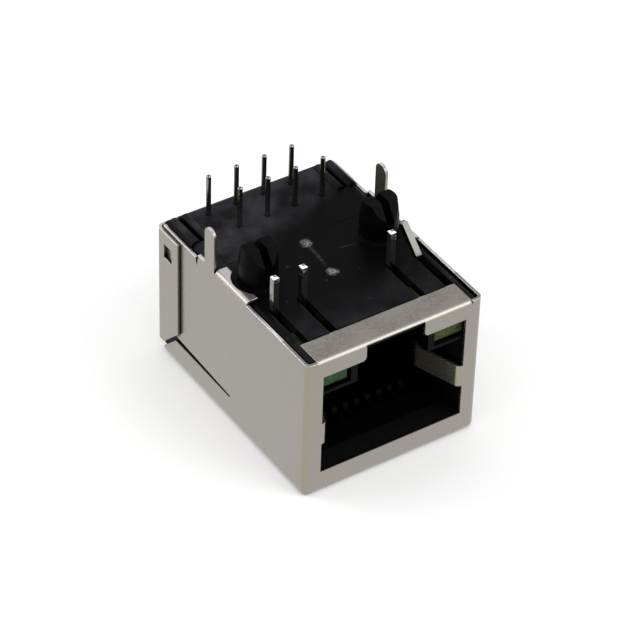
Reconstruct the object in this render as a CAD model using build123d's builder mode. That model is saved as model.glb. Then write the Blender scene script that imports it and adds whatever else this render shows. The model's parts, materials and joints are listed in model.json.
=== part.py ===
"""Shielded board jack with built-in magnetics and two indicator lamps.

It lies on its top panel with the board side up: +X to the right seen from the plug mouth,
+Y from the mouth to the rear, +Z towards the circuit board. The origin is the middle of the
footprint on the resting face. Depths are counted from the front face. Millimetres.
"""
import math
import os

from build123d import *

os.makedirs("parts", exist_ok=True)

# Metal shell
shell_width = 15.9
shell_depth = 21.1
shell_height = 13.05
sheet = 0.25
bend_radius = 0.5
seat_height = 13.35

# Plug window in the front frame
window_width = 12.95
window_sill = 2.05
window_height = 9.4
latch_slot_width = 5.3
tab_corner = 0.35
slot_overlap = 0.25

# Front strip folded over the board face
strip_width = 14.0
strip_depth = 2.5

# Side springs that touch the plug
spring_low = 4.85
spring_height = 2.0
spring_reach = 1.65
spring_run = 3.9
spring_tail_run = 1.5
spring_tail_return = 0.9
spring_fold = 0.3
spring_bend = 0.35

# Board lips and ground pins on the side walls
lip_start = 8.5
lip_end = 12.9
lip_reach = 1.05
lip_bend = 0.4
lip_peg_gap = 0.55
ground_pin_width = 1.35
ground_pin_depth = 13.72
pin_height = 16.85
shoulder_length = 0.95
shoulder_drop = 0.1
notch_width = 0.4
notch_drop = 0.9

# Rear part of the side walls, lapped by the ears of the rear panel
rear_edge_drop = 0.25
ear_edge_drop = 0.55
slit_depth = 10.64
slit_level = 2.35
slit_tip = 0.18
slit_width = 0.6
ear_length = 3.15
ear_gap = 0.02
ear_mitre_rear = 1.4
ear_mitre_front = 3.55
rail_mitre = 1.75
corner_relief = 0.15

# Latch hole in each ear and its hook
latch_hole_length = 1.15
latch_hole_height = 1.3
latch_hole_inset = 1.7
latch_hole_level = 10.7
hook_length = 0.9
hook_height = 0.95
hook_rise = 0.2

# Moulded housing
fit_gap = 0.05
body_edge = 0.15
board_edge_round = 0.6
cavity_width = 11.9
cavity_floor = 2.55
cavity_height = 6.9
lead_in_depth = 1.2
latch_channel_width = 6.4
latch_channel_height = 1.95
latch_catch_thickness = 1.3
latch_roof = 0.4
spring_pocket_gap = 0.45

# Indicator lamps
lamp_width = 2.9
lamp_height = 2.6
lamp_length = 4.0
lamp_recess = 0.3
lamp_inset = 5.28
lamp_floor = 0.3
lamp_edge = 0.15
lead_size = 0.5
lead_pitch = 2.54
lead_depth = 6.75
lead_level = 12.05
lead_height = 16.5
lead_bend = 0.35
lead_tip_chamfer = 0.12
lead_groove_gap = 0.09
bent_lead_shift = 0.8
bent_lead_lean = 1.05
bent_lead_drop = 0.35
bent_lead_start = 13.2

# Board pegs
peg_inset = 2.425
peg_depth = 10.59
peg_radius = 1.55
peg_tip_radius = 1.35
peg_tip_flat = 0.62
peg_height = 16.5
peg_straight = 1.65
peg_slot = 0.66
peg_root = 0.1
peg_slot_floor = 0.2

# Board pins in two staggered rows
pin_count = 8
pin_radius = 0.2
pin_pitch = 1.27
pin_row_gap = 2.54
pin_inset = 1.62
pin_tip_chamfer = 0.08
pin_tail = 0.5

# Contact wires
contact_pitch = 1.02
contact_width = 0.45
contact_thickness = 0.3
contact_bend_depth = 4.05
contact_loop = 1.15
contact_radius = 0.5
contact_tip_reach = 0.5
contact_tip_rise = 2.9
contact_tail_gap = 0.85
contact_tail_stagger = 0.6
contact_tail_reach = 0.3
comb_slot_gap = 0.08
comb_depth = 3.6
comb_lead = 0.35
rear_comb_depth = 0.75
rear_comb_top = 1.2

# Contact carrier, circuit board and module carrier
chamber_length = 7.5
chamber_wall = 1.1
chamber_floor = 1.0
chamber_side = 1.1
tongue_width = 8.9
tray_thickness = 1.1
board_level = 2.9
board_thickness = 0.8
board_inset = 0.3
tray_rail = 1.0
carrier_wall = 0.5
carrier_roof = 1.5
rib_width = 0.75
ridge_groove_width = 0.25
ridge_groove_length = 4.0
ridge_groove_depth = 0.9

# Magnetics and chip parts on the circuit board
core_count = 4
core_inner_radius = 0.5
core_thickness = 1.2
core_gap = 2.55
winding_wire = 0.12
winding_turns = 3
winding_arc = 300
turn_width = 0.14
resistor_count = 4
resistor_size = (0.8, 1.6, 0.45)
resistor_pitch = 1.4
resistor_margin = 0.6
capacitor_size = (3.2, 1.6, 1.1)
capacitor_margin = 1.4

# Values that follow from the sizes above
front = -shell_depth / 2
back = shell_depth / 2
half_width = shell_width / 2
inner_half = half_width - sheet
wall_mid = half_width - sheet / 2
bend_mid_radius = bend_radius - sheet / 2
window_head = window_sill + window_height
strip_floor = shell_height - sheet
rear_edge = shell_height - rear_edge_drop
tray_depth = shell_depth - bend_radius - corner_relief
tray_end = front + tray_depth
ear_edge = shell_height - ear_edge_drop
ear_mid = half_width + ear_gap + sheet / 2
ear_front = back - ear_length
ear_mitre_end = ear_front + ear_mitre_front - ear_mitre_rear
panel_half = half_width - bend_radius - corner_relief
body_half = inner_half - fit_gap
body_front = front + sheet + fit_gap
body_back = back - sheet - fit_gap
body_bottom = sheet + fit_gap
board_face = seat_height - sheet
front_plane = Plane.XZ.offset(-front)
body_plane = Plane.XZ.offset(-body_front)
cavity_roof = cavity_floor + cavity_height
chamber_front = body_back - chamber_length
cavity_end = chamber_front - chamber_wall
cavity_depth = cavity_end - body_front
chamber_half = body_half - chamber_side
ridge_end = body_back - board_edge_round
ridge_length = ridge_groove_length - board_edge_round
ridge_radius = (chamber_side - ridge_groove_width) / 2
recess_floor = strip_floor - fit_gap
peg_x = half_width - peg_inset
peg_y = front + peg_depth
lamp_front = body_front + lamp_recess
lamp_back = lamp_front + lamp_length
lamp_bottom = cavity_roof + lamp_floor + fit_gap
lead_y = front + lead_depth
contact_level = chamber_floor + tray_thickness + contact_thickness / 2
carrier_half = chamber_half - fit_gap
board_top = board_level + board_thickness
carrier_front = chamber_front + fit_gap
contact_xs = [contact_pitch * (i - (pin_count - 1) / 2) for i in range(pin_count)]
pin_xs = [pin_pitch * (i - (pin_count - 1) / 2) for i in range(pin_count)]
pin_rows = [back - pin_inset, back - pin_inset - pin_row_gap]
pin_ys = [pin_rows[i % 2] for i in range(pin_count)]
spring_root = window_width / 2 - spring_fold
spring_tip = window_width / 2 - spring_reach
pin_front = front + ground_pin_depth - ground_pin_width / 2
notch_front = pin_front + ground_pin_width + shoulder_length
notch_foot = shell_height - notch_drop
wall_side = Plane.YZ.offset(panel_half)
wall_band = half_width - panel_half
latch_hole_y = back - latch_hole_inset
lead_xs = [s * lamp_inset + o * lead_pitch / 2 for s in (-1, 1) for o in (-1, 1)]
contact_bend_y = front + contact_bend_depth
comb_front = contact_bend_y - contact_thickness / 2 - comb_lead
tongue_front = comb_front + comb_depth
contact_tip_level = contact_level + contact_loop + contact_tip_rise
tail_front = chamber_front + contact_tail_gap
tail_rows = [tail_front, tail_front + contact_tail_stagger]
contact_tail_ys = [tail_rows[i % 2] for i in range(pin_count)]
carrier_inner = carrier_half - carrier_wall
core_pitch = 2 * carrier_inner / core_count
core_outer_radius = core_pitch / 2 - 2 * winding_wire - fit_gap
core_level = board_top + core_outer_radius + 2 * winding_wire + fit_gap
core_y = chamber_front + core_gap
chip_y = sum(pin_rows) / 2
resistor_start = resistor_margin + resistor_size[0] / 2 - carrier_inner
capacitor_x = carrier_inner - capacitor_margin - capacitor_size[0] / 2


with BuildPart() as rear_panel:
    # Rear panel and its two ears, bent round the corners outside the side walls
    with BuildSketch(Plane.XY.offset(ear_mitre_rear)):
        with BuildLine():
            FilletPolyline(
                (-ear_mid, ear_front),
                (-ear_mid, back - sheet / 2),
                (ear_mid, back - sheet / 2),
                (ear_mid, ear_front),
                radius=bend_mid_radius,
            )
        trace(line_width=sheet)
    extrude(amount=ear_edge - ear_mitre_rear)

    # Slanted lower edge of each ear
    with BuildSketch(Plane.YZ):
        with BuildLine():
            Polyline(
                (ear_front, ear_mitre_rear),
                (ear_mitre_end, ear_mitre_rear),
                (ear_front, ear_mitre_front),
                close=True,
            )
        make_face()
    extrude(amount=ear_mid + sheet, both=True, mode=Mode.SUBTRACT)

    # Foot of the panel and its bend into the top panel
    with BuildSketch(Plane.YZ):
        with BuildLine():
            FilletPolyline(
                (tray_end - bend_radius, sheet / 2),
                (back - sheet / 2, sheet / 2),
                (back - sheet / 2, ear_mitre_rear + bend_radius),
                radius=bend_mid_radius,
            )
        trace(line_width=sheet)
    extrude(amount=panel_half, both=True)

    # Square latch hole through each ear
    with BuildSketch(Plane.YZ):
        with Locations((latch_hole_y, latch_hole_level)):
            Rectangle(latch_hole_length, latch_hole_height)
    extrude(amount=ear_mid + sheet, both=True, mode=Mode.SUBTRACT)


with BuildPart() as shield:
    # Top panel, front frame and side walls folded up into one tray
    with BuildSketch():
        with Locations((0, front)):
            Rectangle(shell_width, tray_depth, align=(Align.CENTER, Align.MIN))
    extrude(amount=shell_height)
    corner_edges = shield.edges().filter_by(Axis.Z).sort_by(Axis.Y)[:2]
    floor_edges = shield.faces().sort_by(Axis.Z)[0].edges().sort_by(Axis.Y)[:-1]
    fillet(corner_edges + floor_edges, radius=bend_radius)
    open_faces = [shield.faces().sort_by(Axis.Z)[-1], shield.faces().sort_by(Axis.Y)[-1]]
    offset(amount=-sheet, openings=open_faces)

    # Strip folded from the front frame over the board face
    with BuildSketch(front_plane):
        with Locations((0, shell_height)):
            Rectangle(strip_width, bend_radius, align=(Align.CENTER, Align.MAX))
    extrude(amount=-sheet, mode=Mode.SUBTRACT)
    with BuildSketch(Plane.YZ):
        with BuildLine():
            FilletPolyline(
                (front + sheet / 2, shell_height - 2 * bend_radius),
                (front + sheet / 2, shell_height - sheet / 2),
                (front + strip_depth, shell_height - sheet / 2),
                radius=bend_mid_radius,
            )
        trace(line_width=sheet)
    extrude(amount=strip_width / 2, both=True)

    # Plug window with the latch slot between two lamp tabs
    with BuildSketch(front_plane) as window:
        with Locations((0, window_sill)):
            Rectangle(window_width, window_height, align=(Align.CENTER, Align.MIN))
            slot_height = shell_height - slot_overlap - window_sill
            Rectangle(latch_slot_width, slot_height, align=(Align.CENTER, Align.MIN))
        fillet(window.vertices().group_by(Axis.Y)[1].sort_by(Axis.X)[1:3], radius=tab_corner)
    extrude(amount=-bend_radius, mode=Mode.SUBTRACT)

    # Spring bent in from the window's side
    with BuildSketch(Plane.XY.offset(spring_low)):
        with BuildLine():
            FilletPolyline(
                (window_width / 2 + sheet, front + sheet / 2),
                (spring_root, front + sheet / 2),
                (spring_tip, front + spring_run),
                (spring_tip + spring_tail_return, front + spring_run + spring_tail_run),
                radius=spring_bend,
            )
        trace(line_width=sheet)
    extrude(amount=spring_height)

    # Lip folded over the board face, notched round the peg
    with BuildSketch(Plane.XZ.offset(-front - lip_start)):
        with BuildLine():
            FilletPolyline(
                (wall_mid, shell_height - 2 * lip_bend),
                (wall_mid, seat_height - sheet / 2),
                (half_width - lip_reach, seat_height - sheet / 2),
                radius=lip_bend - sheet / 2,
            )
        trace(line_width=sheet)
    extrude(amount=lip_start - lip_end)
    with BuildSketch(Plane.XY.offset(board_face)):
        with Locations((peg_x, peg_y)):
            Circle(peg_radius + lip_peg_gap)
    extrude(amount=sheet, mode=Mode.SUBTRACT)

    # Ground pin with a shoulder behind it
    with BuildSketch(Plane.YZ.offset(inner_half)):
        with Locations((pin_front, notch_foot)):
            shoulder_rise = seat_height - shoulder_drop - notch_foot
            Rectangle(notch_front - pin_front, shoulder_rise, align=(Align.MIN, Align.MIN))
            pin_rise = pin_height - ground_pin_width / 2 - notch_foot
            Rectangle(ground_pin_width, pin_rise, align=(Align.MIN, Align.MIN))
        with Locations((front + ground_pin_depth, pin_height - ground_pin_width / 2)):
            Circle(ground_pin_width / 2)
    extrude(amount=sheet)

    # Tapered slit, and the mitred end of the rail under it
    with BuildSketch(wall_side):
        with BuildLine():
            Polyline(
                (front + slit_depth, slit_level),
                (tray_end - rail_mitre, slit_level),
                (tray_end, slit_level - rail_mitre),
                (tray_end, slit_level + slit_width),
                (front + slit_depth, slit_level + slit_tip),
                close=True,
            )
        make_face()
    extrude(amount=wall_band, mode=Mode.SUBTRACT)

    # Lower rear edge of the wall behind a notch beside the pin's shoulder
    with BuildSketch(wall_side):
        with BuildLine():
            Polyline(
                (notch_front, seat_height),
                (notch_front, shell_height),
                (notch_front + notch_width / 2, notch_foot),
                (notch_front + notch_width, rear_edge),
                (tray_end, rear_edge),
                (tray_end, seat_height),
                close=True,
            )
        make_face()
    extrude(amount=wall_band, mode=Mode.SUBTRACT)

    # Hook pressed out of the wall into the latch hole of the ear
    with BuildSketch(Plane.XY.offset(latch_hole_level - hook_height / 2)):
        with BuildLine():
            hook_front = latch_hole_y - latch_hole_length / 2 + ear_gap
            Polyline(
                (wall_mid, hook_front),
                (half_width + hook_rise, hook_front),
                (half_width, hook_front + hook_length),
                (wall_mid, hook_front + hook_length),
                close=True,
            )
        make_face()
    extrude(amount=hook_height)

    # The left side mirrors the right, and the rear panel closes the back
    split(bisect_by=Plane.YZ, keep=Keep.TOP)
    mirror(about=Plane.YZ)
    add(rear_panel.part)

shield.part.label = "shield"
export_step(shield.part, "parts/shield.step")


with BuildPart() as housing:
    # Block inside the shell, its board-side edges rounded
    with BuildSketch(Plane.XY.offset(body_bottom)):
        with Locations((0, body_front)):
            Rectangle(2 * body_half, body_back - body_front, align=(Align.CENTER, Align.MIN))
    extrude(amount=board_face - body_bottom)
    board_edges = housing.faces().sort_by(Axis.Z)[-1].edges().sort_by(Axis.Y)[1:]
    fillet(board_edges, radius=board_edge_round)
    chamfer(housing.faces().sort_by(Axis.Z)[0].edges(), length=bend_radius - sheet)
    fillet(housing.edges().filter_by(Axis.Z).group_by(Axis.Y)[0], radius=body_edge)

    # Recess under the front strip, bevelled where the strip folds over
    with BuildSketch(Plane.YZ):
        with BuildLine():
            Polyline(
                (front, board_face),
                (front, recess_floor - body_edge),
                (body_front, recess_floor - body_edge),
                (body_front + body_edge, recess_floor),
                (front + strip_depth + fit_gap, recess_floor),
                (front + strip_depth + fit_gap, board_face),
                close=True,
            )
        make_face()
    extrude(amount=strip_width / 2 + fit_gap, both=True, mode=Mode.SUBTRACT)

    # Plug cavity with a flared mouth
    with BuildSketch(body_plane):
        with Locations((0, cavity_floor)):
            Rectangle(cavity_width, cavity_height, align=(Align.CENTER, Align.MIN))
    extrude(amount=-cavity_depth, mode=Mode.SUBTRACT)
    with BuildSketch(body_plane):
        with Locations((0, window_sill)):
            flare_size = (window_width, cavity_roof - window_sill)
            Rectangle(*flare_size, align=(Align.CENTER, Align.MIN))
    with BuildSketch(body_plane.offset(-lead_in_depth)):
        with Locations((0, cavity_floor)):
            Rectangle(cavity_width, cavity_height, align=(Align.CENTER, Align.MIN))
    loft(ruled=True, mode=Mode.SUBTRACT)

    # Pocket in each cavity wall for the side spring
    with BuildSketch(Plane.XY.offset(spring_low - spring_pocket_gap)):
        with Locations((0, body_front)):
            pocket_length = spring_run + spring_tail_run + spring_pocket_gap
            Rectangle(window_width, pocket_length, align=(Align.CENTER, Align.MIN))
    extrude(amount=spring_height + 2 * spring_pocket_gap, mode=Mode.SUBTRACT)

    # Latch channel with the catch wall at its mouth
    with BuildSketch(body_plane):
        with Locations((0, cavity_roof)):
            Rectangle(
                latch_channel_width, latch_channel_height, align=(Align.CENTER, Align.MIN)
            )
            slot_rise = recess_floor - latch_roof - cavity_roof
            Rectangle(latch_slot_width, slot_rise, align=(Align.CENTER, Align.MIN))
    extrude(amount=-cavity_depth, mode=Mode.SUBTRACT)
    with BuildSketch(body_plane.offset(-latch_catch_thickness)):
        with Locations((0, cavity_roof)):
            Rectangle(latch_channel_width, slot_rise, align=(Align.CENTER, Align.MIN))
    extrude(amount=latch_catch_thickness - cavity_depth, mode=Mode.SUBTRACT)

    # Lamp pockets beside the latch channel, and slots for the lamp leads
    lamp_xs = (-lamp_inset, lamp_inset)
    with BuildSketch(body_plane):
        with Locations(*[(x, lamp_bottom - fit_gap) for x in lamp_xs]):
            pocket_size = (lamp_width + 2 * fit_gap, lamp_height + 2 * fit_gap)
            Rectangle(*pocket_size, align=(Align.CENTER, Align.MIN))
    extrude(amount=-(lamp_recess + lamp_length + fit_gap), mode=Mode.SUBTRACT)
    with BuildSketch(Plane.XY.offset(lead_level - lead_size / 2 - lead_groove_gap)):
        with Locations(*[(x, body_front) for x in lead_xs]):
            groove_width = lead_size + 2 * lead_groove_gap
            groove_length = lead_y + lead_size / 2 + lead_groove_gap - body_front
            Rectangle(groove_width, groove_length, align=(Align.CENTER, Align.MIN))
    extrude(amount=board_face, mode=Mode.SUBTRACT)

    # Chamber for the magnetics, open at the rear and towards the board
    with BuildSketch(Plane.XY.offset(chamber_floor)):
        with Locations((0, chamber_front)):
            chamber_size = (2 * chamber_half, body_back - chamber_front + fit_gap)
            Rectangle(*chamber_size, align=(Align.CENTER, Align.MIN))
    extrude(amount=board_face, mode=Mode.SUBTRACT)
    with BuildSketch(Plane.XY.offset(board_face - ridge_groove_depth)):
        with Locations((0, body_back)):
            groove_span = 2 * (chamber_half + ridge_groove_width)
            Rectangle(groove_span, ridge_groove_length, align=(Align.CENTER, Align.MAX))
    extrude(amount=board_face, mode=Mode.SUBTRACT)

    # Domed ridge outside each groove that stands on the board
    with BuildSketch(Plane.XZ.offset(-ridge_end)):
        with BuildLine():
            ridge_spring = seat_height - ridge_radius
            Polyline(
                (body_half, ridge_spring),
                (body_half, board_face - board_edge_round),
                (body_half - 2 * ridge_radius, board_face - board_edge_round),
                (body_half - 2 * ridge_radius, ridge_spring),
            )
            ThreePointArc(
                (body_half - 2 * ridge_radius, ridge_spring),
                (body_half - ridge_radius, seat_height),
                (body_half, ridge_spring),
            )
        make_face()
    extrude(amount=ridge_length)

    # Channel under the cavity floor for the contact carrier's tongue
    with BuildSketch(Plane.XY.offset(chamber_floor)):
        with Locations((0, tongue_front)):
            channel_size = (tongue_width, chamber_front - tongue_front + fit_gap)
            Rectangle(*channel_size, align=(Align.CENTER, Align.MIN))
    extrude(amount=cavity_floor - chamber_floor, mode=Mode.SUBTRACT)

    # Comb slots for the contact wires in the floor and in the rear wall
    with BuildSketch(Plane.XY.offset(chamber_floor)):
        with Locations(*[(x, comb_front) for x in contact_xs]):
            slot_width = contact_width + 2 * comb_slot_gap
            Rectangle(slot_width, tongue_front - comb_front, align=(Align.CENTER, Align.MIN))
    extrude(amount=cavity_floor - chamber_floor, mode=Mode.SUBTRACT)
    with BuildSketch(Plane.XY.offset(cavity_floor)):
        with Locations(*[(x, cavity_end) for x in contact_xs]):
            Rectangle(slot_width, rear_comb_depth, align=(Align.CENTER, Align.MIN))
    extrude(amount=contact_tip_level + rear_comb_top - cavity_floor, mode=Mode.SUBTRACT)

    # Board pegs with a flared root, a straight part above the board seat and a tapered tip
    with BuildSketch(Plane.XZ.offset(-peg_y)):
        with BuildLine():
            Polyline(
                (peg_x, board_face),
                (peg_x + peg_radius + peg_root, board_face),
                (peg_x + peg_radius, seat_height),
                (peg_x + peg_radius, seat_height + peg_straight),
                (peg_x + peg_tip_radius, peg_height),
                (peg_x, peg_height),
                close=True,
            )
        make_face()
    revolve(axis=Axis((peg_x, peg_y, 0), (0, 0, 1)))

    # Slopes in front of each tip and behind it, and the slot that splits the peg
    for side in (-1, 1):
        slope_foot = peg_y + side * (peg_radius + peg_root)
        with BuildSketch(Plane.YZ.offset(peg_x)):
            with BuildLine():
                Polyline(
                    (slope_foot, seat_height + peg_straight),
                    (peg_y + side * peg_tip_flat, peg_height),
                    (slope_foot, peg_height),
                    close=True,
                )
            make_face()
        extrude(amount=2 * peg_radius, both=True, mode=Mode.SUBTRACT)
    with BuildSketch(Plane.XY.offset(board_face + peg_slot_floor)):
        with Locations((peg_x, peg_y)):
            Rectangle(peg_slot, 2 * peg_radius)
    extrude(amount=peg_height, mode=Mode.SUBTRACT)
    split(bisect_by=Plane.YZ, keep=Keep.TOP)
    mirror(about=Plane.YZ)

housing.part.label = "housing"
export_step(housing.part, "parts/housing.step")


with BuildPart() as contact_carrier:
    # Tray under the circuit board, with side rails that the board rests on
    with BuildSketch(Plane.XY.offset(chamber_floor)):
        with Locations((0, carrier_front)):
            tray_size = (2 * carrier_half, body_back - carrier_front)
            Rectangle(*tray_size, align=(Align.CENTER, Align.MIN))
    extrude(amount=board_level - chamber_floor)
    with BuildSketch(Plane.XY.offset(chamber_floor + tray_thickness)):
        with Locations((0, carrier_front)):
            trough_size = (2 * (carrier_half - tray_rail), body_back - carrier_front - tray_rail)
            Rectangle(*trough_size, align=(Align.CENTER, Align.MIN))
    extrude(amount=board_level, mode=Mode.SUBTRACT)

    # Tongue that carries the wires forward under the plug cavity
    with BuildSketch(Plane.XY.offset(chamber_floor)):
        with Locations((0, tongue_front + fit_gap)):
            tongue_size = (tongue_width - 2 * fit_gap, carrier_front - tongue_front)
            Rectangle(*tongue_size, align=(Align.CENTER, Align.MIN))
    extrude(amount=tray_thickness)

contact_carrier.part.label = "contact_carrier"
export_step(contact_carrier.part, "parts/contact_carrier.step")


with BuildPart() as circuit_board:
    # Board with a square hole for each contact tail and each pin
    with BuildSketch(Plane.XY.offset(board_level)) as board_outline:
        with Locations((0, carrier_front)):
            board_size = (2 * (carrier_half - board_inset), body_back - carrier_front - board_inset)
            Rectangle(*board_size, align=(Align.CENTER, Align.MIN))
        with Locations(*zip(contact_xs, contact_tail_ys)):
            Rectangle(contact_width, contact_thickness, mode=Mode.SUBTRACT)
        with Locations(*zip(pin_xs, pin_ys)):
            Rectangle(2 * pin_radius, 2 * pin_radius, mode=Mode.SUBTRACT)
    extrude(amount=board_thickness)

circuit_board.part.label = "circuit_board"
export_step(circuit_board.part, "parts/circuit_board.step")


with BuildPart() as module_carrier:
    # Cover block over the magnetics, hollow towards the circuit board
    with BuildSketch(Plane.XY.offset(board_top)):
        with Locations((0, carrier_front)):
            carrier_size = (2 * carrier_half, body_back - carrier_front)
            Rectangle(*carrier_size, align=(Align.CENTER, Align.MIN))
    extrude(amount=board_face - board_top)
    rear_edge_top = module_carrier.faces().sort_by(Axis.Z)[-1].edges().sort_by(Axis.Y)[-1]
    fillet(rear_edge_top, radius=board_edge_round)
    with BuildSketch(Plane.XY.offset(board_top)):
        with Locations((0, carrier_front + carrier_wall)):
            hollow_size = (2 * carrier_inner, body_back - carrier_front - 2 * carrier_wall)
            Rectangle(*hollow_size, align=(Align.CENTER, Align.MIN))
    extrude(amount=board_face - carrier_roof - board_top, mode=Mode.SUBTRACT)

    # Domed rib inside each groove that stands on the board
    with BuildSketch(Plane.XZ.offset(-ridge_end)):
        with BuildLine():
            rib_base = board_face - board_edge_round
            Polyline(
                (carrier_half, board_face),
                (carrier_half, rib_base),
                (carrier_half - rib_width, rib_base),
                (carrier_half - rib_width, board_face),
            )
            ThreePointArc(
                (carrier_half - rib_width, board_face),
                (carrier_half - rib_width / 2, seat_height),
                (carrier_half, board_face),
            )
        make_face()
    extrude(amount=ridge_length)
    mirror(about=Plane.YZ)

    # Square holes that the round pins are pressed through
    with BuildSketch(Plane.XY.offset(board_top)):
        with Locations(*zip(pin_xs, pin_ys)):
            Rectangle(2 * pin_radius, 2 * pin_radius)
    extrude(amount=seat_height, mode=Mode.SUBTRACT)

module_carrier.part.label = "module_carrier"
export_step(module_carrier.part, "parts/module_carrier.step")


for i, (x, y) in enumerate(zip(contact_xs, contact_tail_ys)):
    with BuildPart() as contact:
        # Formed wire: tail up through the board, along the tongue, and back over itself
        with BuildSketch(Plane.YZ.offset(x)):
            with BuildLine():
                FilletPolyline(
                    (y, board_top + contact_tail_reach),
                    (y, contact_level),
                    (contact_bend_y, contact_level),
                    (contact_bend_y, contact_level + contact_loop),
                    (cavity_end + contact_tip_reach, contact_tip_level),
                    radius=contact_radius,
                )
            trace(line_width=contact_thickness)
        extrude(amount=contact_width / 2, both=True)
    contact.part.label = f"contact_{i + 1}"
    export_step(contact.part, f"parts/contact_{i + 1}.step")


for i, (x, y) in enumerate(zip(pin_xs, pin_ys)):
    with BuildPart() as board_pin:
        # Round pin from under the circuit board to its bevelled tip
        with BuildSketch(Plane.XY.offset(board_level - pin_tail)):
            with Locations((x, y)):
                Circle(pin_radius)
        extrude(amount=pin_height - board_level + pin_tail)
        chamfer(board_pin.faces().sort_by(Axis.Z)[-1].edges(), length=pin_tip_chamfer)
    board_pin.part.label = f"board_pin_{i + 1}"
    export_step(board_pin.part, f"parts/board_pin_{i + 1}.step")


for side, x in (("left", -lamp_inset), ("right", lamp_inset)):
    with BuildPart() as lamp:
        # Rectangular cast lamp body, its front edges bevelled
        with BuildSketch(Plane.XZ.offset(-lamp_front)):
            with Locations((x, lamp_bottom)):
                Rectangle(lamp_width, lamp_height, align=(Align.CENTER, Align.MIN))
        extrude(amount=-lamp_length)
        chamfer(lamp.faces().sort_by(Axis.Y)[0].edges(), length=lamp_edge)
    lamp.part.label = f"lamp_{side}"
    export_step(lamp.part, f"parts/lamp_{side}.step")


for i, x in enumerate(lead_xs):
    with BuildPart() as lead:
        # Lead out of the lamp's back, then up out of the board face
        is_bent = i == len(lead_xs) - 1
        lead_top = bent_lead_start if is_bent else lead_height
        with BuildSketch(Plane.YZ.offset(x)):
            with BuildLine():
                FilletPolyline(
                    (lamp_back, lead_level),
                    (lead_y, lead_level),
                    (lead_y, lead_top),
                    radius=lead_bend,
                )
            trace(line_width=lead_size)
        extrude(amount=lead_size / 2, both=True)
        if is_bent:
            lean = (-bent_lead_shift, bent_lead_lean, lead_height - bent_lead_drop - bent_lead_start)
            with BuildSketch(Plane((x, lead_y, bent_lead_start - lead_size / 4), z_dir=lean)):
                Rectangle(lead_size, lead_size)
            extrude(amount=math.hypot(*lean))
        chamfer(lead.faces().sort_by(Axis.Z)[-1].edges(), length=lead_tip_chamfer)
    lead.part.label = f"lamp_lead_{i + 1}"
    export_step(lead.part, f"parts/lamp_lead_{i + 1}.step")


for i in range(core_count):
    x = core_pitch * (i - (core_count - 1) / 2)
    with BuildPart() as core:
        # Ring core that stands on the circuit board behind the contact tails
        with BuildSketch(Plane.XZ.offset(-core_y)):
            with Locations((x, core_level)):
                Circle(core_outer_radius)
                Circle(core_inner_radius, mode=Mode.SUBTRACT)
        extrude(amount=core_thickness / 2, both=True)
    core.part.label = f"core_{i + 1}"
    export_step(core.part, f"parts/core_{i + 1}.step")

    with BuildPart() as winding:
        # Layer of wire round most of the ring, with the crowns of its turns proud of it
        section_x = x + (core_outer_radius + core_inner_radius) / 2
        section = core_outer_radius - core_inner_radius
        with BuildSketch(Plane.XY.offset(core_level)):
            with Locations((section_x, core_y)):
                Rectangle(section + 2 * winding_wire, core_thickness + 2 * winding_wire)
                Rectangle(section, core_thickness, mode=Mode.SUBTRACT)
        revolve(axis=Axis((x, core_y, core_level), (0, 1, 0)), revolution_arc=winding_arc)
        turn_step = winding_arc / (winding_turns + 1)
        for k in range(winding_turns):
            turn_plane = Plane((x, core_y, core_level)).rotated((0, (k + 1) * turn_step, 0))
            with BuildSketch(turn_plane):
                with Locations((section_x - x, 0)):
                    Rectangle(section + 4 * winding_wire, core_thickness + 4 * winding_wire)
                    core_hole = (section + winding_wire, core_thickness + winding_wire)
                    Rectangle(*core_hole, mode=Mode.SUBTRACT)
            extrude(amount=turn_width / 2, both=True)
    winding.part.label = f"winding_{i + 1}"
    export_step(winding.part, f"parts/winding_{i + 1}.step")


for i in range(resistor_count):
    with BuildPart() as resistor:
        # Chip resistor flat on the board between the pin rows
        with BuildSketch(Plane.XY.offset(board_top)):
            with Locations((resistor_start + resistor_pitch * i, chip_y)):
                Rectangle(resistor_size[0], resistor_size[1])
        extrude(amount=resistor_size[2])
    resistor.part.label = f"resistor_{i + 1}"
    export_step(resistor.part, f"parts/resistor_{i + 1}.step")

with BuildPart() as capacitor:
    # High-voltage chip capacitor beside the resistors
    with BuildSketch(Plane.XY.offset(board_top)):
        with Locations((capacitor_x, chip_y)):
            Rectangle(capacitor_size[0], capacitor_size[1])
    extrude(amount=capacitor_size[2])

capacitor.part.label = "capacitor"
export_step(capacitor.part, "parts/capacitor.step")
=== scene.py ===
"""Looks of the shielded board jack: materials, camera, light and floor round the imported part."""

import json
import math
from typing import NamedTuple

import bpy
from mathutils import Matrix, Vector


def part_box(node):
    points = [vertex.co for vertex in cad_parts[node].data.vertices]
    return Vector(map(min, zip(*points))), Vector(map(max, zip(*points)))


MM = 0.001
WHITE = (1, 1, 1, 1)
TO_BOARD = (0, 0, 1)
BEVEL_SAMPLES = 6


class Patches(NamedTuple):
    """Noise as a mask: its size, the span of noise that it fades over, and its two values."""

    size: float
    span: tuple
    to: tuple = (0.0, 1.0)
    detail: float = 3
    squeeze: tuple | None = None


class Grain(NamedTuple):
    """Fine texture: its size and detail, its two roughnesses, and its relief with that relief's strength."""

    size: float
    detail: float
    roughness: tuple
    relief: float
    strength: float
    span: tuple = (0.3, 0.7)
    squeeze: tuple | None = None


class Edges(NamedTuple):
    """Edges picked out by a bevel: their radius, and how sharply they bend and how far they face the board.
    """

    radius: float
    bend: tuple
    facing: tuple


class Scratch(NamedTuple):
    """A scratch on the board face: start and end as (x, y), width, all in millimetres, and strength."""

    start: tuple
    end: tuple
    width: float
    strength: float


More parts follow.
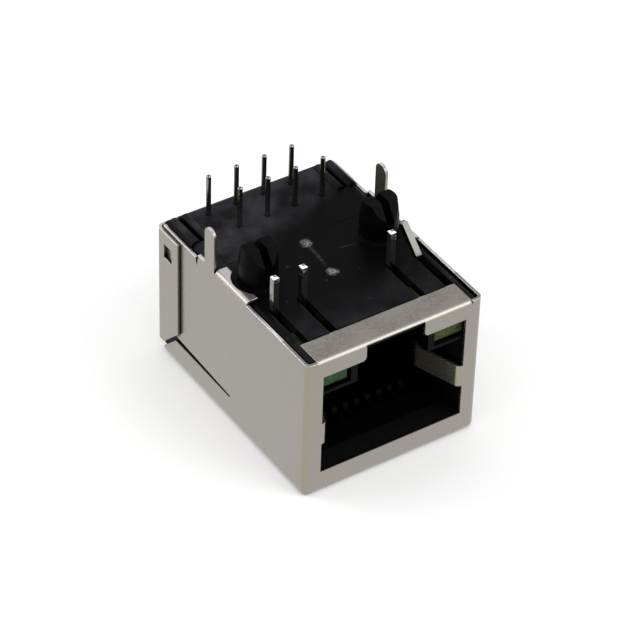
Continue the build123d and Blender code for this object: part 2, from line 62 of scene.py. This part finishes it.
# Camera, from the fit to the photograph's straight edges; SHIFT is to its right and up
FRAME_PX = 640
FOCAL_PX = 3142.1
SENSOR_MM = 36.0
AZIMUTH = math.radians(-34.536)
ELEVATION = math.radians(39.570)
ROLL = math.radians(1.937)
DISTANCE = 243.77 * MM
SHIFT = (-0.108 * MM, -0.655 * MM)
TARGET = Vector((0, -0.55, 8.0)) * MM
CLIP_START = 10 * MM

# White room with a grey panel that the board side mirrors
ROOM_LIGHT = 0.95
PANEL_LIGHT = 0.72
PANEL_DIRECTION = (0.437, 0.635, 0.637)
PANEL_FULL = math.radians(24)
PANEL_GONE = math.radians(42)

# Softboxes that the folded edges mirror
SOFTBOX_DIRECTIONS = {"front_right": (0.437, -0.636, 0.634), "rear_left": (-0.636, 0.635, 0.436)}
SOFTBOX_DISTANCE = 0.30
SOFTBOX_SIZE = 0.20
SOFTBOX_POWER = 0.24

# Floor: its own colour, its glow in mirrors and its lift to white in the camera
FLOOR_SIZE = 1.2
FLOOR_COLOUR = (0.93, 0.93, 0.93, 1)
FLOOR_ROUGHNESS = 0.9
FLOOR_MIRRORED = 0.97
FLOOR_LIFT = 0.10

# Nickel sheet; here and below, a span is the two values that a mask fades between
NICKEL = (0.348, 0.329, 0.294)
NICKEL_DULL = (0.225, 0.182, 0.190)
NICKEL_FOLD = (0.356, 0.338, 0.262)
# Painted highlight colour for the lips
NICKEL_LIP_HIGHLIGHT = (0.66, 0.65, 0.65)
# Painted highlight colour for edges that face the board near its face
NICKEL_EDGE_HIGHLIGHT = (0.70, 0.69, 0.62)
# Painted shade colour for corners, gaps and low up-facing faces
PAINTED_SHADE = (0.012, 0.008, 0.001)
NICKEL_METALLIC = 0.92
NICKEL_GRAIN = Grain(size=0.10 * MM, detail=2, roughness=(0.25, 0.35), relief=0.0015 * MM, strength=0.30)
NICKEL_SPECKS = Patches(size=0.20 * MM, span=(0.30, 0.70))
NICKEL_CLOUDS = Patches(size=1.8 * MM, span=(0.35, 0.65), to=(0.25, 0.85))
NICKEL_BOARD_SIDE = (0.80, 0.98)
WALL_MOTTLE = 0.06
UPRIGHT_FOLD = (0.05, 0.30)

# Lips and ground pins lie further than this behind the shell's front; their faces towards the board get the
# painted highlight
LIPS_BEHIND_FRONT = 3.55 * MM

# Edges of the sheet: a painted highlight near the board face, and painted shade in gaps and where they look
# up from the foot
NICKEL_EDGES = Edges(radius=0.10 * MM, bend=(0.80, 0.97), facing=(0.15, 0.50))
HIGHLIGHT_BELOW_FACE = (4.35 * MM, 2.35 * MM)
FOOT_FACING = (0.08, 0.35)
FOOT_HEIGHT = (4.0 * MM, 5.0 * MM)
FOOT_SHADE = 0.85
CREVICE_REACH = 0.45 * MM
CREVICE_LIGHT = (0.55, 0.88)
CREVICE_SAMPLES = 8

# Tin on pins and leads, and the solder on their tips; the pins' darker tin and solder are painted shade
TIN = (0.48, 0.47, 0.44)
TIN_SHADED = (0.32, 0.315, 0.28)
TIN_RIM = (0.20, 0.20, 0.17, 1)
SOLDER = (0.44, 0.44, 0.42)
SOLDER_SHADED = (0.24, 0.24, 0.22)
PIN_DIP = 0.3 * MM
LEAD_DIP = 0.9 * MM
SOLDER_RUN = 1.2 * MM
SOLDER_RUN_SIZE = 1.1 * MM
SOLDER_FADE = 0.25 * MM
TIN_GRAIN = Grain(size=0.2 * MM, detail=2, roughness=(0.10, 0.22), relief=0.05 * MM, strength=0.6)
BARE_TIN_RELIEF = 0.25

# Gilt contact wire, painted nearly black as the deep shade inside the jack's mouth
GOLD_IN_SHADE = (0.0034, 0.0029, 0.0018)
GOLD_WORN_IN_SHADE = (0.0022, 0.0020, 0.0014)
GOLD_WEAR = Patches(size=0.8 * MM, span=(0.4, 0.7))
GOLD_GRAIN = Grain(size=0.1 * MM, detail=2, roughness=(0.40, 0.55), relief=0.004 * MM, strength=0.4,
                   squeeze=(6, 1, 1))

# Black moulding
BLACK = (0.0014, 0.0014, 0.0016)
# Lighter board-face colour: haze with a painted sheen
BLACK_HAZE_SHEEN = (0.0320, 0.0320, 0.0385)
# Lighter colour of edges that face the board: wear with a painted highlight
BLACK_EDGE = (0.018, 0.018, 0.021)
SCUFF = (0.24, 0.24, 0.245)
PLASTIC_SPECULAR = 0.047
PLASTIC_GRAIN = Grain(size=0.12 * MM, detail=3, roughness=(0.34, 0.46), relief=0.005 * MM, strength=0.4)
PLASTIC_EDGES = Edges(radius=0.04 * MM, bend=(0.85, 0.98), facing=(0.1, 0.6))
PLASTIC_EDGE_WEAR_AND_HIGHLIGHT = 0.4
PLASTIC_BOARD_SIDE = (0.60, 0.95)

# Haze with its painted sheen, and marks, lie no deeper than this below the board face
MARKED_BELOW_FACE = 2.35 * MM

# Haze and painted sheen on the board face: thick behind a slanting edge, thin along the front
HAZE_SHEEN_ACROSS = (-0.395, 0.919, 0)
HAZE_SHEEN_EDGE = (3.9 * MM, 6.4 * MM)
HAZE_SHEEN_RAGGED = 1.5 * MM
HAZE_SHEEN_RAGGED_SIZE = 1.6 * MM
FRONT_HAZE_SHEEN = 0.45
FRONT_HAZE_SHEEN_EDGE = (-4.0 * MM, -8.0 * MM)
HAZE_SHEEN_CLOUDS = Patches(size=2.2 * MM, span=(0.34, 0.66), to=(0.15, 1.0), detail=4)

# Marks on the board face: scuffs at (x, y) in millimetres, scratches and dust, all of them crumbly
SCUFFS = ((0.04, 1.91), (-0.19, -2.07))
SCUFF_RADIUS = 0.56 * MM
SCUFF_RAGGED_SIZE = 0.45 * MM
SCUFF_FADE = (0.8 * SCUFF_RADIUS, 1.5 * SCUFF_RADIUS)
SCRATCHES = (
    Scratch(start=(0.04, 2.10), end=(-0.12, -1.30), width=0.24, strength=0.15),
    Scratch(start=(1.75, 0.10), end=(3.35, -0.12), width=0.12, strength=0.12),
)
SCRATCH_END_SHARE = 0.2
DUST = Patches(size=0.5 * MM, span=(0.70, 0.76), to=(0.0, 0.25), detail=4)
CRUMBS = Patches(size=0.18 * MM, span=(0.34, 0.60), to=(0.15, 1.0))

# Lamp resin
LAMP_GREEN = (0.020, 0.064, 0.018)
LAMP_GREEN_DEEP = (0.010, 0.036, 0.016)
LAMP_YELLOW = (0.055, 0.074, 0.012)
LAMP_YELLOW_DEEP = (0.020, 0.032, 0.006)
LAMP_GLINT = (0.10, 0.15, 0.10)
LAMP_SPECULAR = 0.12
LAMP_TRANSMISSION = 0.10
LAMP_CLOUDS = Patches(size=0.9 * MM, span=(0.35, 0.70))
LAMP_GLINTS = Patches(size=0.3 * MM, span=(0.58, 0.72), to=(0.0, 0.8), detail=2, squeeze=(1, 1, 2))
LAMP_GRAIN = Grain(size=0.3 * MM, detail=2, roughness=(0.22, 0.34), relief=0.008 * MM, strength=0.3)

# Circuit board
RESIST = (0.015, 0.09, 0.035)
RESIST_LIGHT = (0.03, 0.15, 0.06)
WEAVE = Grain(size=0.25 * MM, detail=1, roughness=(0.30, 0.42), relief=0.01 * MM, strength=0.5,
              span=(0.15, 0.40))
THREADS = ((1, 6, 1), (6, 1, 1))

# Copper windings
COPPER = (0.48, 0.16, 0.05)
COPPER_LIGHT = (0.60, 0.25, 0.09)
COPPER_METALLIC = 0.9
COPPER_TURNS = Grain(size=0.12 * MM, detail=1, roughness=(0.22, 0.34), relief=0.02 * MM, strength=0.7,
                     span=(0.35, 0.65), squeeze=(4, 1, 4))

# Fired bodies: chips and ring cores
CHIP_BLACK = (0.012, 0.012, 0.013)
CHIP_BLACK_LIGHT = (0.03, 0.03, 0.03)
CHIP_BEIGE = (0.42, 0.33, 0.20)
CHIP_BEIGE_DARK = (0.30, 0.23, 0.14)
FERRITE = (0.018, 0.018, 0.020)
FERRITE_LIGHT = (0.050, 0.050, 0.055)
GLAZE_GRAIN = Grain(size=0.15 * MM, detail=4, roughness=(0.3, 0.4), relief=0.009 * MM, strength=0.5,
                    span=(0.35, 0.65))
CERAMIC_GRAIN = GLAZE_GRAIN._replace(roughness=(0.5, 0.6))
FERRITE_GRAIN = GLAZE_GRAIN._replace(roughness=(0.6, 0.7), size=0.06 * MM)


def new_material(name):
    """A material with nodes, its shader and a coordinate in the part's own frame."""
    material = bpy.data.materials.new(name)
    material.use_nodes = True
    tree = material.node_tree
    shader = tree.nodes["Principled BSDF"]
    place = tree.nodes.new("ShaderNodeTexCoord").outputs["Object"]
    return material, tree, shader, place


def feed(tree, value, socket):
    """Gives an input socket its value: a link from another socket, or a number or vector."""
    if isinstance(value, bpy.types.NodeSocket):
        tree.links.new(value, socket)
    else:
        socket.default_value = value


def maths(tree, operation, first, *others):
    """Values, each a socket or a number, joined one after the other by Math nodes."""
    result = first
    for other in others:
        node = tree.nodes.new("ShaderNodeMath")
        node.operation = operation
        feed(tree, result, node.inputs[0])
        feed(tree, other, node.inputs[1])
        result = node.outputs["Value"]
    return result


def absolute(tree, value):
    """The value without its sign."""
    node = tree.nodes.new("ShaderNodeMath")
    node.operation = "ABSOLUTE"
    tree.links.new(value, node.inputs[0])
    return node.outputs["Value"]


def vector_maths(tree, operation, a, b):
    """One Vector Math node on two vectors, each a socket or numbers."""
    node = tree.nodes.new("ShaderNodeVectorMath")
    node.operation = operation
    feed(tree, a, node.inputs[0])
    feed(tree, b, node.inputs[1])
    return node.outputs["Value" if operation in ("DOT_PRODUCT", "DISTANCE") else "Vector"]


def component(tree, vector, axis):
    """The X, Y or Z of a vector."""
    node = tree.nodes.new("ShaderNodeSeparateXYZ")
    tree.links.new(vector, node.inputs["Vector"])
    return node.outputs[axis]


def remap(tree, value, span, to=(0.0, 1.0)):
    """The value mapped from one range to another, clamped."""
    node = tree.nodes.new("ShaderNodeMapRange")
    tree.links.new(value, node.inputs["Value"])
    for socket, number in zip(("From Min", "From Max", "To Min", "To Max"), (*span, *to)):
        node.inputs[socket].default_value = number
    return node.outputs["Result"]


def noise(tree, place, size, detail=3, squeeze=None):
    """Noise with features of about that size, smaller along an axis by its factor in squeeze."""
    if squeeze:
        mapping = tree.nodes.new("ShaderNodeMapping")
        mapping.inputs["Scale"].default_value = squeeze
        tree.links.new(place, mapping.inputs["Vector"])
        place = mapping.outputs["Vector"]
    node = tree.nodes.new("ShaderNodeTexNoise")
    node.inputs["Scale"].default_value = 1 / size
    node.inputs["Detail"].default_value = detail
    tree.links.new(place, node.inputs["Vector"])
    return node.outputs["Fac"]


def noise_of(tree, place, recipe):
    """The noise that patches or a grain are made of."""
    return noise(tree, place, recipe.size, recipe.detail, recipe.squeeze)


def patches(tree, place, recipe):
    """A mask of clouds or specks."""
    return remap(tree, noise_of(tree, place, recipe), recipe.span, recipe.to)


def roughen(tree, shader, grain, recipe):
    """Roughness that follows a grain."""
    tree.links.new(remap(tree, grain, recipe.span, recipe.roughness), shader.inputs["Roughness"])


def emboss(tree, shader, height, recipe, normal=None):
    """Relief that follows a height between 0 and 1, on a rounded normal if there is one."""
    node = tree.nodes.new("ShaderNodeBump")
    node.inputs["Strength"].default_value = recipe.strength
    node.inputs["Distance"].default_value = recipe.relief
    tree.links.new(height, node.inputs["Height"])
    if normal is not None:
        tree.links.new(normal, node.inputs["Normal"])
    tree.links.new(node.outputs["Normal"], shader.inputs["Normal"])


def mix_colour(tree, factor, a, b):
    """Two colours mixed by a factor, each a socket or a colour."""
    node = tree.nodes.new("ShaderNodeMix")
    node.data_type = "RGBA"
    tree.links.new(factor, node.inputs["Factor"])
    for socket, colour in ((node.inputs["A"], a), (node.inputs["B"], b)):
        feed(tree, (*colour, 1) if isinstance(colour, tuple) else colour, socket)
    return node.outputs["Result"]


def surface_normal(tree):
    """The true normal of the surface."""
    return tree.nodes.new("ShaderNodeNewGeometry").outputs["True Normal"]


def facing_board(tree, normal, span):
    """1 where a normal points towards the circuit board and 0 where it points sideways or away."""
    return remap(tree, vector_maths(tree, "DOT_PRODUCT", normal, TO_BOARD), span)


def edge_mask(tree, edges):
    """1 along sharp edges and 0 on open faces, with the rounded normal that made it."""
    bevel = tree.nodes.new("ShaderNodeBevel")
    bevel.samples = BEVEL_SAMPLES
    bevel.inputs["Radius"].default_value = edges.radius
    rounded = bevel.outputs["Normal"]
    likeness = vector_maths(tree, "DOT_PRODUCT", rounded, surface_normal(tree))
    return remap(tree, likeness, edges.bend, (1.0, 0.0)), rounded


def crevice_mask(tree):
    """1 in corners and narrow gaps, where shade is painted, and 0 on open faces."""
    node = tree.nodes.new("ShaderNodeAmbientOcclusion")
    node.samples = CREVICE_SAMPLES
    node.inputs["Distance"].default_value = CREVICE_REACH
    return remap(tree, node.outputs["AO"], CREVICE_LIGHT, (1.0, 0.0))


def top_of(node):
    """Height of a CAD node's highest point."""
    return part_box(node)[1].z


def nickel_tone(tree, place):
    """Colour of clean nickel: mottled on the board side, with a painted highlight on its lips, warm in
    upright folds.
    """
    normal = surface_normal(tree)
    board_side = facing_board(tree, normal, NICKEL_BOARD_SIDE)
    mottle = maths(tree, "MULTIPLY", patches(tree, place, NICKEL_SPECKS), patches(tree, place, NICKEL_CLOUDS),
                   remap(tree, board_side, (0.0, 1.0), (WALL_MOTTLE, 1.0)))
    colour = mix_colour(tree, mottle, NICKEL, NICKEL_DULL)
    lips_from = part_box("shield")[0].y + LIPS_BEHIND_FRONT
    behind = maths(tree, "GREATER_THAN", component(tree, place, "Y"), lips_from)
    # Painted highlight on faces towards the board behind the front: the lips and ground pins
    colour = mix_colour(tree, maths(tree, "MULTIPLY", board_side, behind), colour, NICKEL_LIP_HIGHLIGHT)
    turn = maths(tree, "MULTIPLY", component(tree, normal, "X"), component(tree, normal, "Y"))
    return mix_colour(tree, remap(tree, absolute(tree, turn), UPRIGHT_FOLD), colour, NICKEL_FOLD)


def nickel_sheet():
    """Satin nickel, with a painted highlight along its edges near the board and painted shade in its corners,
    gaps and low down.
    """
    material, tree, shader, place = new_material("nickel_sheet")
    height = component(tree, place, "Z")
    highlight_height = [top_of("module_carrier") - below for below in HIGHLIGHT_BELOW_FACE]
    # Painted highlight along edges that face the board, only near the board face
    edge, rounded = edge_mask(tree, NICKEL_EDGES)
    edge_highlight = maths(tree, "MULTIPLY", edge, facing_board(tree, rounded, NICKEL_EDGES.facing),
                    remap(tree, height, highlight_height))
    colour = mix_colour(tree, edge_highlight, nickel_tone(tree, place), NICKEL_EDGE_HIGHLIGHT)
    # Painted shade on up-facing faces low down, and in corners and gaps
    foot = maths(tree, "MULTIPLY", facing_board(tree, rounded, FOOT_FACING),
                 remap(tree, height, FOOT_HEIGHT, (FOOT_SHADE, 0.0)))
    painted_shade = maths(tree, "MAXIMUM", crevice_mask(tree), foot)
    tree.links.new(mix_colour(tree, painted_shade, colour, PAINTED_SHADE), shader.inputs["Base Color"])
    shader.inputs["Metallic"].default_value = NICKEL_METALLIC
    grain = noise_of(tree, place, NICKEL_GRAIN)
    roughen(tree, shader, grain, NICKEL_GRAIN)
    emboss(tree, shader, grain, NICKEL_GRAIN, rounded)
    return material


def haze_and_sheen(tree, place):
    """Haze and painted sheen on the board face, cloudy and with a ragged edge."""
    ragged = maths(tree, "MULTIPLY", noise(tree, place, HAZE_SHEEN_RAGGED_SIZE), HAZE_SHEEN_RAGGED)
    across = maths(tree, "ADD", vector_maths(tree, "DOT_PRODUCT", place, HAZE_SHEEN_ACROSS), ragged)
    front = remap(tree, component(tree, place, "Y"), FRONT_HAZE_SHEEN_EDGE, (0.0, FRONT_HAZE_SHEEN))
    thickness = maths(tree, "MAXIMUM", remap(tree, across, HAZE_SHEEN_EDGE), front)
    return maths(tree, "MULTIPLY", thickness, patches(tree, place, HAZE_SHEEN_CLOUDS))


def scuff(tree, place, centre):
    """1 near a point of the board face and 0 further off, with a ragged edge."""
    flat = vector_maths(tree, "MULTIPLY", place, (1, 1, 0))
    distance = vector_maths(tree, "DISTANCE", flat, Vector((*centre, 0)) * MM)
    ragged = maths(tree, "MULTIPLY", noise(tree, place, SCUFF_RAGGED_SIZE), SCUFF_RADIUS)
    return remap(tree, maths(tree, "ADD", distance, ragged), SCUFF_FADE, (1.0, 0.0))


def scratched(tree, place, scratch):
    """The scratch's strength along its line, fading to its sides and ends."""
    start, end = (Vector((*point, 0)) * MM for point in (scratch.start, scratch.end))
    length = (end - start).length
    along = (end - start).normalized()
    across = Vector((-along.y, along.x, 0))
    offset = vector_maths(tree, "SUBTRACT", place, start)
    side = absolute(tree, vector_maths(tree, "DOT_PRODUCT", offset, across))
    run = vector_maths(tree, "DOT_PRODUCT", offset, along)
    fade = SCRATCH_END_SHARE * length
    return maths(tree, "MULTIPLY", remap(tree, side, (0.0, scratch.width * MM), (scratch.strength, 0.0)),
                 remap(tree, run, (0.0, fade)), remap(tree, run, (length, length - fade)))


def marks(tree, place):
    """Scuffs, scratches and dust, the strongest at each point, broken into crumbs."""
    scuffs = [scuff(tree, place, centre) for centre in SCUFFS]
    scratches = [scratched(tree, place, scratch) for scratch in SCRATCHES]
    strongest = maths(tree, "MAXIMUM", *scuffs, *scratches, patches(tree, place, DUST))
    return maths(tree, "MULTIPLY", strongest, patches(tree, place, CRUMBS))


def black_plastic():
    """Black moulding with a fine texture: on its board face haze with a painted sheen and marks of handling,
    and along its edges that face the board wear with a painted highlight.
    """
    material, tree, shader, place = new_material("black_plastic")
    marked_from = top_of("module_carrier") - MARKED_BELOW_FACE
    board_face = maths(tree, "MULTIPLY", facing_board(tree, surface_normal(tree), PLASTIC_BOARD_SIDE),
                       maths(tree, "GREATER_THAN", component(tree, place, "Z"), marked_from))
    # Haze with a painted sheen on the board face
    colour = mix_colour(tree, maths(tree, "MULTIPLY", haze_and_sheen(tree, place), board_face), BLACK, BLACK_HAZE_SHEEN)
    # Edges that face the board lightened: wear with a painted highlight
    edge, rounded = edge_mask(tree, PLASTIC_EDGES)
    worn = maths(tree, "MULTIPLY", edge, facing_board(tree, rounded, PLASTIC_EDGES.facing), PLASTIC_EDGE_WEAR_AND_HIGHLIGHT)
    colour = mix_colour(tree, worn, colour, BLACK_EDGE)
    marked = maths(tree, "MULTIPLY", marks(tree, place), board_face)
    tree.links.new(mix_colour(tree, marked, colour, SCUFF), shader.inputs["Base Color"])
    shader.inputs["Specular IOR Level"].default_value = PLASTIC_SPECULAR
    grain = noise_of(tree, place, PLASTIC_GRAIN)
    roughen(tree, shader, grain, PLASTIC_GRAIN)
    emboss(tree, shader, grain, PLASTIC_GRAIN, rounded)
    return material


def tinned(name, colour, tip_colour, tip, dip):
    """Tin on a pin or lead, with lumpier solder that runs from its tip to about dip below it."""
    material, tree, shader, place = new_material(name)
    runs = maths(tree, "MULTIPLY", noise(tree, place, SOLDER_RUN_SIZE), SOLDER_RUN)
    height = maths(tree, "ADD", component(tree, place, "Z"), runs)
    solder_from = tip - dip + SOLDER_RUN / 2
    dipped = remap(tree, height, (solder_from, solder_from + SOLDER_FADE))
    tree.links.new(mix_colour(tree, dipped, colour, tip_colour), shader.inputs["Base Color"])
    shader.inputs["Metallic"].default_value = 1.0
    shader.inputs["Specular Tint"].default_value = TIN_RIM
    grain = noise_of(tree, place, TIN_GRAIN)
    roughen(tree, shader, grain, TIN_GRAIN)
    lumps = maths(tree, "MULTIPLY", grain, remap(tree, dipped, (0.0, 1.0), (BARE_TIN_RELIEF, 1.0)))
    emboss(tree, shader, lumps, TIN_GRAIN)
    return material


def gilt():
    """Gold flash on spring wire, painted nearly black as the deep shade in the jack's mouth, duller in
    patches.
    """
    material, tree, shader, place = new_material("gilt_wire")
    worn = patches(tree, place, GOLD_WEAR)
    tree.links.new(mix_colour(tree, worn, GOLD_IN_SHADE, GOLD_WORN_IN_SHADE), shader.inputs["Base Color"])
    shader.inputs["Metallic"].default_value = 1.0
    drawn = noise_of(tree, place, GOLD_GRAIN)
    roughen(tree, shader, drawn, GOLD_GRAIN)
    emboss(tree, shader, drawn, GOLD_GRAIN)
    return material


def resin(name, colour, deep):
    """Tinted resin of an indicator lamp, cloudy and darker in its depth, with glints."""
    material, tree, shader, place = new_material(name)
    body = mix_colour(tree, patches(tree, place, LAMP_CLOUDS), colour, deep)
    glints = patches(tree, place, LAMP_GLINTS)
    tree.links.new(mix_colour(tree, glints, body, LAMP_GLINT), shader.inputs["Base Color"])
    shader.inputs["Specular IOR Level"].default_value = LAMP_SPECULAR
    shader.inputs["Transmission Weight"].default_value = LAMP_TRANSMISSION
    grain = noise_of(tree, place, LAMP_GRAIN)
    roughen(tree, shader, grain, LAMP_GRAIN)
    emboss(tree, shader, grain, LAMP_GRAIN)
    return material


def board_laminate():
    """Green solder resist with the weave of the glass cloth under it."""
    material, tree, shader, place = new_material("board_laminate")
    threads = [noise_of(tree, place, WEAVE._replace(squeeze=squeeze)) for squeeze in THREADS]
    weave = maths(tree, "MULTIPLY", *threads)
    tone = remap(tree, weave, WEAVE.span)
    tree.links.new(mix_colour(tree, tone, RESIST, RESIST_LIGHT), shader.inputs["Base Color"])
    roughen(tree, shader, weave, WEAVE)
    emboss(tree, shader, weave, WEAVE)
    return material


def enamelled_copper():
    """Fine copper turns side by side under a clear red-brown enamel."""
    material, tree, shader, place = new_material("enamelled_copper")
    turns = noise_of(tree, place, COPPER_TURNS)
    tone = remap(tree, turns, COPPER_TURNS.span)
    tree.links.new(mix_colour(tree, tone, COPPER, COPPER_LIGHT), shader.inputs["Base Color"])
    shader.inputs["Metallic"].default_value = COPPER_METALLIC
    roughen(tree, shader, turns, COPPER_TURNS)
    emboss(tree, shader, turns, COPPER_TURNS)
    return material


def fired(name, colour, second, recipe):
    """Pressed and fired body, such as a ferrite ring or a chip, with a pitted skin."""
    material, tree, shader, place = new_material(name)
    grain = noise_of(tree, place, recipe)
    tone = remap(tree, grain, recipe.span)
    tree.links.new(mix_colour(tree, tone, colour, second), shader.inputs["Base Color"])
    roughen(tree, shader, grain, recipe)
    emboss(tree, shader, grain, recipe)
    return material


def dress(frame):
    """Gives each CAD node the material of its slot."""
    plastic = black_plastic()
    looks = {
        "shield_nickel": nickel_sheet(),
        "housing_black": plastic,
        "carrier_black": plastic,
        "board_green": board_laminate(),
        "contact_gold": gilt(),
        # The pins' darker tin and solder are painted shade
        "pin_tin": tinned("tinned_pin", TIN_SHADED, SOLDER_SHADED, top_of("board_pin_1"), PIN_DIP),
        "lead_tin": tinned("tinned_lead", TIN, SOLDER, top_of("lamp_lead_1"), LEAD_DIP),
        "lamp_green": resin("resin_green", LAMP_GREEN, LAMP_GREEN_DEEP),
        "lamp_yellow": resin("resin_yellow", LAMP_YELLOW, LAMP_YELLOW_DEEP),
        "core_ferrite": fired("ferrite", FERRITE, FERRITE_LIGHT, FERRITE_GRAIN),
        "wire_copper": enamelled_copper(),
        "chip_black": fired("chip_glaze", CHIP_BLACK, CHIP_BLACK_LIGHT, GLAZE_GRAIN),
        "chip_beige": fired("chip_ceramic", CHIP_BEIGE, CHIP_BEIGE_DARK, CERAMIC_GRAIN),
    }
    slots = {part["node"]: part["material_slot"] for part in frame["record"]["subparts"]}
    for name, node in frame["nodes"].items():
        node.data.materials.clear()
        node.data.materials.append(looks[slots[name]])


def place_camera():
    """The photograph's own camera."""
    back = Vector((math.sin(AZIMUTH) * math.cos(ELEVATION), -math.cos(AZIMUTH) * math.cos(ELEVATION),
                   math.sin(ELEVATION)))
    level = Vector((math.cos(AZIMUTH), math.sin(AZIMUTH), 0))
    rise = back.cross(level)
    right = math.cos(ROLL) * level + math.sin(ROLL) * rise
    up = math.cos(ROLL) * rise - math.sin(ROLL) * level
    data = bpy.data.cameras.new("camera")
    data.sensor_width = SENSOR_MM
    data.lens = FOCAL_PX / FRAME_PX * SENSOR_MM
    data.clip_start = CLIP_START
    camera = bpy.data.objects.new("camera", data)
    spot = TARGET + SHIFT[0] * right + SHIFT[1] * up + DISTANCE * back
    camera.matrix_world = Matrix.Translation(spot) @ Matrix((right, up, back)).transposed().to_4x4()
    bpy.context.scene.collection.objects.link(camera)
    bpy.context.scene.camera = camera


def light_room():
    """An even white room with a grey panel behind and above, white to the camera."""
    world = bpy.data.worlds.new("room")
    bpy.context.scene.world = world
    world.use_nodes = True
    tree = world.node_tree
    direction = tree.nodes.new("ShaderNodeTexCoord").outputs["Generated"]
    towards = vector_maths(tree, "DOT_PRODUCT", direction, PANEL_DIRECTION)
    panel_edge = (math.cos(PANEL_GONE), math.cos(PANEL_FULL))
    room = remap(tree, towards, panel_edge, (ROOM_LIGHT, PANEL_LIGHT))
    seen = tree.nodes.new("ShaderNodeLightPath").outputs["Is Camera Ray"]
    background = tree.nodes["Background"]
    background.inputs["Color"].default_value = WHITE
    tree.links.new(maths(tree, "MAXIMUM", room, seen), background.inputs["Strength"])


def add_softboxes():
    """Round softboxes, each facing the part."""
    for name, direction in SOFTBOX_DIRECTIONS.items():
        data = bpy.data.lights.new(name, "AREA")
        data.shape = "DISK"
        data.size = SOFTBOX_SIZE
        data.energy = SOFTBOX_POWER
        softbox = bpy.data.objects.new(name, data)
        spot = Vector(direction).normalized() * SOFTBOX_DISTANCE
        softbox.location = spot
        softbox.rotation_euler = spot.to_track_quat("Z", "Y").to_euler()
        bpy.context.scene.collection.objects.link(softbox)


def floor_paper():
    """Pale paper, white to the camera where no shadow falls and even in the metal's reflections."""
    material, tree, shader, _ = new_material("floor_paper")
    shader.inputs["Base Color"].default_value = FLOOR_COLOUR
    shader.inputs["Roughness"].default_value = FLOOR_ROUGHNESS
    shader.inputs["Specular IOR Level"].default_value = 0.0
    shader.inputs["Emission Color"].default_value = WHITE
    path = tree.nodes.new("ShaderNodeLightPath")
    lift = maths(tree, "MULTIPLY", path.outputs["Is Camera Ray"], FLOOR_LIFT)
    tree.links.new(lift, shader.inputs["Emission Strength"])
    glow = tree.nodes.new("ShaderNodeEmission")
    glow.inputs["Color"].default_value = WHITE
    glow.inputs["Strength"].default_value = FLOOR_MIRRORED
    mirrored = maths(tree, "MAXIMUM", path.outputs["Is Glossy Ray"], path.outputs["Is Transmission Ray"])
    mix = tree.nodes.new("ShaderNodeMixShader")
    tree.links.new(mirrored, mix.inputs["Fac"])
    tree.links.new(shader.outputs["BSDF"], mix.inputs[1])
    tree.links.new(glow.outputs["Emission"], mix.inputs[2])
    tree.links.new(mix.outputs["Shader"], tree.nodes["Material Output"].inputs["Surface"])
    return material


def lay_floor():
    """A square of paper under the part."""
    half = FLOOR_SIZE / 2
    corners = [(-half, -half, 0), (half, -half, 0), (half, half, 0), (-half, half, 0)]
    mesh = bpy.data.meshes.new("floor")
    mesh.from_pydata(corners, [], [(0, 1, 2, 3)])
    mesh.materials.append(floor_paper())
    floor = bpy.data.objects.new("floor", mesh)
    bpy.context.scene.collection.objects.link(floor)


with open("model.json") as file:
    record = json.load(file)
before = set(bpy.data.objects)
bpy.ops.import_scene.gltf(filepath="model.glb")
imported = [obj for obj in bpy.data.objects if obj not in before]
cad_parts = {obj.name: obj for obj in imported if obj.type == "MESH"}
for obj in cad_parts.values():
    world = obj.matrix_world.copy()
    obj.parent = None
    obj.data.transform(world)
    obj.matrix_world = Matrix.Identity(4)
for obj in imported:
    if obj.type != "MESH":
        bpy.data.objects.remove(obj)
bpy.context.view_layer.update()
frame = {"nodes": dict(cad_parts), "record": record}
dress(frame)
place_camera()
light_room()
add_softboxes()
lay_floor()
bpy.context.scene.view_settings.view_transform = "Standard"
